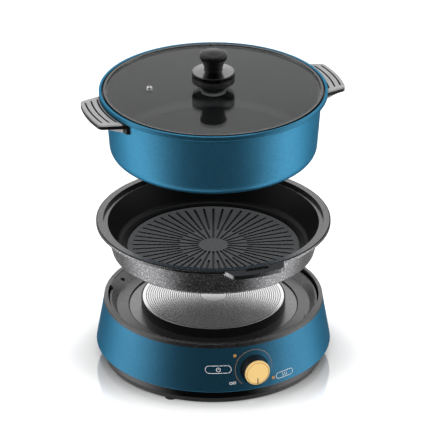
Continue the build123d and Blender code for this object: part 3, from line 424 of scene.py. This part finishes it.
def stone_pan():
    """Grey stone coat with pale specks, plain on its rim, painted dark underneath as shade, black
    non-stick inside with painted highlights on the grill's ridges, and a painted shade line along the
    rim's edge.
    """
    finish = Finish("pan_coat", Specular_IOR_Level=0.12)
    height = finish.height()
    radius = finish.radius()
    up = finish.turned_up()
    down = finish.turned_down()
    rim_r = pan_high.x
    rim_z = pan_high.z

    # Shares of the surface: the inside, the ears' tops and the painted shade line along the rim's edge
    below_ledge = finish.span(height, rim_z - LEDGE_DEPTH, rim_z - 1.5 * LEDGE_DEPTH)
    floor = finish.both(up, below_ledge)
    inside = finish.either(finish.turned_in(), floor)
    ear_top = finish.both(finish.past(radius, rim_r + EAR_GAP), up)
    ear_level = finish.both(ear_top, finish.past(height, rim_z - TOP_DEPTH))
    edge_shade_band = finish.span(radius, rim_r - RIM_SHADE_LINE, rim_r - RIM_SHADE_LINE + 0.3 * MM)
    at_top = finish.span(height, rim_z - 1.0 * MM, rim_z - 0.7 * MM)
    short_of_ear = finish.span(radius, rim_r + 0.6 * MM, rim_r + 0.2 * MM)
    line = finish.both(finish.both(edge_shade_band, at_top), short_of_ear)
    black_share = finish.either(inside, ear_top)

    # Stone coat outside
    drift = finish.noise(3 * MM, 4)
    stone = finish.mix(drift, (0.135, 0.135, 0.14), (0.27, 0.27, 0.28))
    dust = finish.span(finish.cells(0.55 * MM), 0.7, 1.0)
    stone = finish.mix(finish.math("MULTIPLY", dust, 0.5), stone, (0.50, 0.50, 0.51))
    speck = finish.span(finish.cells(0.9 * MM), 0.88, 0.97)
    stone = finish.mix(finish.math("MULTIPLY", speck, 0.8), stone, (0.80, 0.80, 0.81))
    plain = finish.mix(finish.noise(1.6 * MM, 2), (0.06, 0.06, 0.062), (0.25, 0.25, 0.253))
    # The underside is painted dark as shade.
    outside_tone = finish.mix(down, finish.mix(up, stone, plain), (0.08, 0.08, 0.081))

    # Non-stick coat inside, with the grill's ridges painted paler as a highlight and its grooves near
    # black
    groove = finish.short(height, pan_low.z + GROOVE_HEIGHT)
    ridge_highlight = finish.mix(drift, (0.064, 0.065, 0.067), (0.126, 0.127, 0.129))
    ridge_highlight = finish.mix(groove, ridge_highlight, grey(0.004))
    grill = finish.both(floor, finish.short(radius, GRILL_R, 0.5 * MM))
    inside_tone = finish.mix(grill, finish.mix(drift, grey(0.002), grey(0.005)), ridge_highlight)
    inside_tone = finish.mix(ear_level, inside_tone, (0.022, 0.023, 0.025))

    tone = finish.mix(black_share, outside_tone, inside_tone)
    # The line along the rim's edge is painted shade.
    finish.put("Base Color", finish.mix(line, tone, grey(0.006)))
    coated = finish.either(finish.either(black_share, line), down)
    finish.put("Metallic", finish.math("SUBTRACT", 1.0, coated))
    rough = finish.span(finish.cells(1.1 * MM), 0, 1, 0.18, 0.28)
    finish.put("Roughness", finish.math("ADD", rough, finish.math("MULTIPLY", black_share, 0.14)))
    finish.bump(finish.noise(1.2 * MM, 2), 0.05 * MM, 0.4)
    return finish.material


def spun_plate():
    """Cast plate turned on a lathe: bright lands, and a dull film in the cut rings."""
    finish = Finish("cast_aluminium")
    ring = finish.span(finish.height(), plate_high.z - 0.05 * MM, plate_high.z - 0.2 * MM)
    wear = finish.noise(18 * MM, 3)
    land = finish.mix(wear, (0.90, 0.90, 0.91), grey(0.96))
    finish.put("Base Color", finish.mix(ring, land, grey(0.44)))
    finish.put("Metallic", finish.span(ring, 0, 1, 0.94, 0.92))
    polish = finish.span(wear, 0.2, 0.8, 0.17, 0.20)
    finish.put("Roughness", finish.math("ADD", polish, finish.math("MULTIPLY", ring, 0.4)))
    return finish.material


def rim_plastic():
    """Dark grained plastic of the base's rim, shaded as a low crown, painted black on the well's wall
    as shade.
    """
    finish = Finish("rim_plastic", Specular_IOR_Level=1.0)
    grain = finish.span(finish.cells(1.0 * MM), 0.3, 1.0)
    tone = finish.mix(grain, grey(0.005), grey(0.022))
    # The well's wall is painted black as shade.
    finish.put("Base Color", finish.mix(finish.turned_in(), tone, grey(0.003)))
    finish.gloss(6 * MM, 0.26, 0.34)
    crown = finish.span(finish.radius(), rim_high.x - CROWN_WIDTH, rim_high.x, 1.0, 0.0)
    pits = finish.math("MULTIPLY", finish.noise(1.2 * MM, 1), 0.02)
    finish.bump(finish.math("ADD", crown, pits), CROWN_DROP)
    return finish.material


def shield_coat():
    """Coated sheet round the plate: dull outside its step, paler inside, with a painted shade line
    between.
    """
    finish = Finish("shield_coat", Metallic=0.95)
    radius = finish.radius()
    inner = finish.span(radius, SHIELD_STEP_R + 0.4 * MM, SHIELD_STEP_R - 0.2 * MM)
    drift = finish.noise(10 * MM, 3)
    outer_tone = finish.mix(drift, (0.17, 0.17, 0.172), (0.24, 0.24, 0.242))
    inner_tone = finish.mix(drift, (0.22, 0.22, 0.222), (0.29, 0.29, 0.292))
    # The dark line at the step is painted shade.
    step_shade = finish.short(finish.away(radius, SHIELD_STEP_R), STEP_SHADE_WIDTH / 2, FINE_BLUR)
    tone = finish.mix(inner, outer_tone, inner_tone)
    finish.put("Base Color", finish.mix(step_shade, tone, grey(0.01)))
    finish.put("Roughness", finish.span(inner, 0, 1, 0.42, 0.3))
    finish.bump(finish.noise(1.4 * MM, 1), 0.04 * MM, 0.4)
    return finish.material


def guard_chrome():
    """Dark chrome of the lid's guard, with a black band round its edge."""
    finish = Finish("dark_chrome", Metallic=1.0)
    height = finish.height()
    band_low = guard_low.z + GUARD_BAND[0]
    band_high = guard_low.z + GUARD_BAND[1]
    above = finish.span(height, band_low - 0.3 * MM, band_low)
    under = finish.span(height, band_high + 0.3 * MM, band_high)
    grain = finish.cells(0.6 * MM)
    bowl = finish.mix(grain, (0.13, 0.13, 0.132), (0.20, 0.20, 0.202))
    disc = finish.mix(grain, (0.17, 0.17, 0.175), (0.27, 0.27, 0.275))
    chrome = finish.mix(above, bowl, disc)
    finish.put("Base Color", finish.mix(finish.both(above, under), chrome, grey(0.03)))
    finish.put("Roughness", finish.span(grain, 0, 1, 0.14, 0.24))
    return finish.material


def gold_face():
    """Satin gold of the knob's cap, with a darker ring near its edge painted as shade, and a dark
    pointer.
    """
    finish = Finish("gold", Metallic=0.15)
    across, depth, height = finish.parts(finish.place)
    line = finish.span(finish.math("ABSOLUTE", across), POINTER_HALF, POINTER_HALF - 0.1 * MM)
    top_z = KNOB_Z - POINTER_TOP
    low = finish.span(height, top_z, top_z - 0.1 * MM)
    sunk = finish.span(depth, face_low.y + 0.2 * MM, face_low.y + 0.4 * MM)
    pointer = finish.both(finish.both(line, low), sunk)
    over = finish.math("SUBTRACT", height, KNOB_Z)
    across_squared = finish.math("MULTIPLY", across, across)
    over_squared = finish.math("MULTIPLY", over, over)
    from_axis = finish.math("SQRT", finish.math("ADD", across_squared, over_squared))
    # The darker ring near the cap's edge is painted shade.
    turned = finish.short(finish.away(from_axis, CAP_SHADE_R), CAP_SHADE_LINE / 2, FINE_BLUR)
    streak = finish.noise(1.2 * MM, 3, (1, 1, 5))
    gold = finish.mix(streak, (0.98, 0.63, 0.225), (1.0, 0.74, 0.31))
    gold = finish.mix(turned, gold, (0.62, 0.35, 0.11))
    finish.put("Base Color", finish.mix(pointer, gold, (0.03, 0.022, 0.012)))
    finish.put("Roughness", finish.span(streak, 0.2, 0.8, 0.32, 0.46))
    finish.bump(streak, 0.02 * MM, 0.4)
    return finish.material


def handle_plastic():
    """Grey plastic of the handles' covers, black along their long slots, and painted dark next to the
    pot as shade.
    """
    finish = Finish("grey_plastic")
    radius = finish.radius()
    across, along, _ = finish.parts(finish.place)
    out = finish.math("ABSOLUTE", across)
    widening = finish.math("MULTIPLY", finish.math("SUBTRACT", handle_high.x, out), SLOT_TAPER)
    reach = finish.math("SUBTRACT", finish.math("ABSOLUTE", along), widening)
    within = finish.short(reach, SLOT_REACH)
    lines = 0.0
    slot_r = handle_high.x - SLOT_EDGE
    for number in range(SLOT_COUNT):
        off_line = finish.away(radius, slot_r - number * SLOT_PITCH)
        lines = finish.either(lines, finish.short(off_line, SLOT_LINE / 2, FINE_BLUR))
    # The dark strip next to the pot is painted shade.
    pot_gap_shade_r = slot_r - (SLOT_COUNT - 1) * SLOT_PITCH - SLOT_LINE
    pot_gap_shade = finish.short(radius, pot_gap_shade_r)
    tone = finish.mix(finish.noise(14 * MM, 3), grey(0.21), grey(0.29))
    tone = finish.mix(pot_gap_shade, tone, grey(0.02))
    finish.put("Base Color", finish.mix(finish.both(lines, within), tone, grey(0.004)))
    finish.gloss(6 * MM, 0.39, 0.51)
    finish.bump(finish.noise(1.0 * MM, 1), 0.06 * MM, 0.6)
    return finish.material


def bracket_plastic():
    """Black plastic under the handles, with the gussets' sides at its two ends painted paler as light.
    """
    finish = Finish("bracket_black", Specular_IOR_Level=0.22)
    sideways = finish.math("ABSOLUTE", finish.dot(finish.facing, (0, 1, 0)))
    core_z = handle_low.z - CORE_DEPTH
    under = finish.span(finish.height(), core_z, core_z - 0.3 * MM)
    # The gussets' pale sides are painted light.
    lit_gusset = finish.both(finish.span(sideways, *SIDEWAYS), under)
    tone = finish.mix(finish.noise(14 * MM, 3), grey(0.003), grey(0.005))
    finish.put("Base Color", finish.mix(lit_gusset, tone, grey(0.34)))
    finish.gloss(6 * MM, 0.18, 0.30)
    finish.bump(finish.noise(1.0 * MM, 1), 0.02 * MM, 0.6)
    return finish.material


def clear_glass():
    """Tempered glass, with a faint unevenness in its gloss."""
    finish = Finish("clear_glass", Transmission_Weight=1.0, IOR=1.2)
    finish.put("Base Color", finish.mix(finish.noise(60 * MM), (0.93, 0.96, 0.96), (0.97, 0.99, 0.99)))
    finish.gloss(9 * MM, 0.0, 0.015)
    return finish.material


def amber_lens():
    """Amber plastic, a little translucent, with an uneven tone."""
    finish = Finish("amber", Coat_Weight=0.6, Coat_Roughness=0.1, Subsurface_Weight=0.2)
    grain = finish.noise(1.5 * MM, 2)
    finish.put("Base Color", finish.mix(grain, (0.42, 0.17, 0.05), (0.58, 0.27, 0.09)))
    finish.put("Roughness", finish.span(grain, 0.2, 0.8, 0.2, 0.35))
    return finish.material


def print_ink(name, dark, light):
    """Screen-printed ink, a little uneven where it lies on the paint."""
    finish = Finish(name)
    finish.put("Base Color", finish.mix(finish.noise(1.2 * MM, 2), dark, light))
    finish.put("Roughness", finish.span(finish.noise(2 * MM), 0.2, 0.8, 0.45, 0.6))
    return finish.material


def dress(material, *names):
    """Gives solids a finish."""
    for name in names:
        slots = solids[name].data.materials
        slots.clear()
        slots.append(material)


black = moulded("black_plastic", grey(0.005), grey(0.010), 0.38)
soft_black = moulded("dark_plastic", (0.014, 0.014, 0.015), (0.026, 0.026, 0.027), 0.5)
grip_black = moulded(
    "grip_black", grey(0.003), grey(0.005), 0.24, 1.0 * MM, 0.02 * MM, Specular_IOR_Level=0.22
)
# Black for the hot plate's ring, standing in for the shade round the plate's side.
ring_shade = moulded("black_enamel", grey(0.003), grey(0.006), 0.35, Specular_IOR_Level=0.1)
rubber = moulded("rubber", grey(0.012), grey(0.022), 0.8)
silicone = moulded("silicone", grey(0.32), grey(0.42), 0.6)
ceramic = moulded("ceramic", (0.62, 0.60, 0.54), (0.74, 0.72, 0.66), 0.6)
wire_red = moulded("wire", (0.24, 0.03, 0.015), (0.34, 0.05, 0.02), 0.5)
steel = metal("steel", (0.50, 0.50, 0.51), (0.66, 0.66, 0.67), 0.28)
dark_steel = metal("element_steel", (0.16, 0.15, 0.15), (0.26, 0.25, 0.24), 0.45)
band_steel = metal("band_steel", (0.08, 0.08, 0.082), (0.12, 0.12, 0.122), 0.26)
skirt_grey = metal("skirt_grey", (0.07, 0.07, 0.072), (0.10, 0.10, 0.102), 0.18, (1, 1, 1), 0.002 * MM)
brass = metal("brass", (0.62, 0.42, 0.16), (0.76, 0.55, 0.25), 0.3)

# Base and knob
dress(blue_paint(), "base_shell")
dress(rim_plastic(), "base_rim")
dress(skirt_grey, "lower_skirt")
dress(soft_black, "bottom_cover")
dress(rubber, "rubber_feet")
dress(shield_coat(), "heat_shield")
dress(spun_plate(), "hot_plate")
# The plate's ring is black as painted shade.
dress(ring_shade, "plate_ring")
dress(gold_face(), "knob_face")
dress(black, "knob_skirt", "power_inlet")
dress(amber_lens(), "power_lens", "heating_lens", "indicator_lamps")
dress(dark_steel, "heating_element")
dress(ceramic, "thermostat", "terminal_block")
dress(wire_red, "wiring")
dress(brass, "thermostat_nut", "inlet_pins")
dress(steel, "cover_screws", "shield_screws", "plate_bridge", "plate_bolt")
dress(steel, "thermal_fuse", "knob_shaft")

# Pan, pot and lid
dress(stone_pan(), "grill_pan")
dress(blue_pot(), "pot_shell")
dress(handle_plastic(), "left_handle_cover", "right_handle_cover")
dress(bracket_plastic(), "left_handle_bracket", "right_handle_bracket")
dress(clear_glass(), "lid_glass")
dress(band_steel, "lid_band")
dress(guard_chrome(), "lid_guard")
dress(grip_black, "lid_grip", "lid_collar")
dress(silicone, "lid_seal")
dress(steel, "handle_screws", "lid_screw", "steam_vent")


def on_wall(along, up):
    """Point on the front wall: so far along it from under the knob, so far up its slope."""
    z = KNOB_Z + up * WALL_RISE / WALL_SLOPE
    radius = WALL_LOW_R - WALL_RUN * (z - wall_low.z) / WALL_RISE
    turn = along / radius
    across = WALL_RISE / WALL_SLOPE
    out = Vector((sin(turn) * across, -cos(turn) * across, WALL_RUN / WALL_SLOPE))
    return Vector((radius * sin(turn), -radius * cos(turn), z)) + out * PRINT_LIFT


def printed(name, points, faces, ink):
    """A printed mark: points along and up the wall, laid on the paint."""
    mesh = bpy.data.meshes.new(name)
    mesh.from_pydata([on_wall(*point) for point in points], [], faces)
    mesh.materials.append(ink)
    piece = bpy.data.objects.new(name, mesh)
    bpy.context.scene.collection.objects.link(piece)
    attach(piece, "base")


def stroke(line, width, closed=False):
    """Points and faces of a drawn line with a width."""
    count = len(line)
    points, faces = [], []
    for i, (x, y) in enumerate(line):
        before = line[i - 1] if i or closed else line[i]
        after = line[(i + 1) % count] if i + 1 < count or closed else line[i]
        run = Vector((after[0] - before[0], after[1] - before[1])).normalized()
        side = Vector((-run.y, run.x)) * width / 2
        points += [(x + side.x, y + side.y), (x - side.x, y - side.y)]
    for i in range(count if closed else count - 1):
        a, b = 2 * i, 2 * ((i + 1) % count)
        faces.append((a, a + 1, b + 1, b))
    return points, faces


def arc(x, y, radius, start, end, steps=24):
    """Points of an arc, in degrees clockwise from straight up."""
    turns = [radians(start + (end - start) * i / steps) for i in range(steps + 1)]
    return [(x + radius * sin(turn), y + radius * cos(turn)) for turn in turns]


def pill(x, y, length, height, steps=10):
    """Outline of a pill: two straight runs and two round ends."""
    reach = (length - height) / 2
    right = arc(x + reach, y, height / 2, 0, 180)
    left = arc(x - reach, y, height / 2, 180, 360)
    low = [(x + reach - 2 * reach * i / steps, y - height / 2) for i in range(1, steps)]
    high = [(x - reach + 2 * reach * i / steps, y + height / 2) for i in range(1, steps)]
    return right + low + left + high


def wave(x, y, height):
    """Points of one rising wave, sized by the outline that it stands in."""
    points = []
    for i in range(WAVE_STEPS + 1):
        part = i / WAVE_STEPS
        swing = WAVE_SWING * height * sin(2 * pi * part)
        points.append((x + swing, y + WAVE_RISE * height * (part - 0.5)))
    return points


def off_mark(ink):
    """The word OFF beside the low end of the scale."""
    text = bpy.data.curves.new("off_text", "FONT")
    text.body = "OFF"
    text.size = OFF_HEIGHT / CAPITAL_SHARE
    text.align_x = "CENTER"
    text.align_y = "CENTER"
    holder = bpy.data.objects.new("off_text", text)
    bpy.context.scene.collection.objects.link(holder)
    bpy.context.view_layer.update()
    mesh = bpy.data.meshes.new_from_object(holder)
    points = [(OFF_PLACE[0] + v.co.x, OFF_PLACE[1] + v.co.y) for v in mesh.vertices]
    faces = [tuple(face.vertices) for face in mesh.polygons]
    bpy.data.objects.remove(holder)
    printed("off_mark", points, faces, ink)


def print_panel():
    """The dial's scale, its OFF, and signs in two outlines: ring and bar for power, waves for heat."""
    white = print_ink("white_ink", (0.72, 0.74, 0.76), (0.86, 0.87, 0.88))
    copper = print_ink("copper_ink", (0.34, 0.20, 0.115), (0.48, 0.30, 0.175))
    scale = arc(*SCALE_PLACE, SCALE_R, SCALE_START, SCALE_END, SCALE_STEPS)
    printed("dial_scale", *stroke(scale, SCALE_LINE), copper)
    printed("power_outline", *stroke(pill(*POWER_PILL), PRINT_LINE, closed=True), white)
    printed("heat_outline", *stroke(pill(*HEAT_PILL), PRINT_LINE, closed=True), white)
    x, y, _, height = POWER_PILL
    ring = arc(x, y - RING_DROP, RING_SHARE * height, *RING_ARC)
    printed("power_ring", *stroke(ring, PRINT_LINE), white)
    printed("power_bar", *stroke([(x, y), (x, y + BAR_SHARE * height)], PRINT_LINE), white)
    x, y, _, height = HEAT_PILL
    for number in range(WAVE_COUNT):
        place = x + (number - (WAVE_COUNT - 1) / 2) * WAVE_PITCH * height
        printed(f"heat_wave_{number + 1}", *stroke(wave(place, y, height), PRINT_LINE), white)
    off_mark(white)


def make_camera():
    """The photograph's camera."""
    data = bpy.data.cameras.new("camera")
    data.sensor_width = SENSOR_MM
    data.lens = FOCAL_PIXELS * SENSOR_MM / IMAGE_PIXELS
    data.shift_x = (IMAGE_PIXELS / 2 - AXIS_PIXEL) / IMAGE_PIXELS
    camera = bpy.data.objects.new("camera", data)
    bpy.context.scene.collection.objects.link(camera)
    back = to_front * cos(CAMERA_ELEVATION) + Vector((0, 0, sin(CAMERA_ELEVATION)))
    camera.location = middle + back * CAMERA_DISTANCE
    camera.rotation_mode = "QUATERNION"
    camera.rotation_quaternion = (-back).to_track_quat("-Z", "Y")
    bpy.context.scene.camera = camera


def make_lamp(name, place, size, power):
    """A softbox that lights without showing in polished faces or through glass."""
    data = bpy.data.lights.new(name, "AREA")
    data.shape = "RECTANGLE"
    data.size, data.size_y = size
    data.energy = power
    lamp = bpy.data.objects.new(name, data)
    bpy.context.scene.collection.objects.link(lamp)
    lamp.location = place
    lamp.rotation_mode = "QUATERNION"
    lamp.rotation_quaternion = (middle - place).to_track_quat("-Z", "Y")
    lamp.visible_glossy = False
    lamp.visible_transmission = False


def make_world():
    """White to the camera; polished faces mirror white from beside and behind, dark from ahead."""
    world = bpy.data.worlds.new("studio")
    world.use_nodes = True
    bpy.context.scene.world = world
    sky = Nodes(world.node_tree)
    way = sky.node("ShaderNodeTexCoord").outputs["Generated"]
    rise = sky.parts(way)[2]
    ahead = sky.dot(sky.bearing(way), to_front)
    level_way = sky.span(sky.math("ABSOLUTE", rise), *STEEP_TO_LEVEL)
    front = sky.both(ahead, level_way)
    beside = sky.span(front, *FRONT_TO_SIDE, STUDIO_AHEAD, STUDIO_BESIDE)
    behind = sky.span(front, *SIDE_TO_BACK)
    below = sky.math("MULTIPLY", sky.span(rise, *LEVEL_TO_BELOW), LOSS_BELOW)
    loss = sky.both(behind, sky.math("ADD", LOSS_BEHIND, below))
    mirrored = sky.math("MULTIPLY", beside, sky.math("SUBTRACT", 1.0, loss))
    is_glossy = sky.node("ShaderNodeLightPath").outputs["Is Glossy Ray"]
    level = sky.blend(is_glossy, STUDIO_FILL, mirrored)
    background = world.node_tree.nodes["Background"]
    sky.feed(background.inputs["Strength"], sky.blend(sky.seen(), level, 1.0))
    background.inputs["Color"].default_value = (1, 1, 1, 1)


def make_floor():
    """Pale floor that shows white to the camera and keeps the soft shadow."""
    mesh = bpy.data.meshes.new("floor")
    corners = [(x * FLOOR_REACH, y * FLOOR_REACH, 0) for x, y in ((-1, -1), (1, -1), (1, 1), (-1, 1))]
    mesh.from_pydata(corners, [], [(0, 1, 2, 3)])
    finish = Finish("floor_white", Roughness=0.07, IOR=3.0)
    finish.put("Base Color", finish.mix(finish.noise(0.4), grey(0.64), grey(0.68)))
    finish.put("Emission Color", grey(1.0))
    glow = finish.span(finish.radius(), *FLOOR_SPAN, 0.0, FLOOR_GLOW)
    finish.put("Emission Strength", finish.both(finish.seen(), glow))
    mesh.materials.append(finish.material)
    floor = bpy.data.objects.new("floor", mesh)
    bpy.context.scene.collection.objects.link(floor)
    floor.rotation_euler.z = CAMERA_AZIMUTH
    floor.scale.y = FLOOR_DEPTH
    floor.visible_glossy = False


print_panel()
make_camera()
for lamp in LAMPS:
    make_lamp(*lamp)
make_world()
make_floor()
bpy.context.scene.view_settings.view_transform = "Standard"
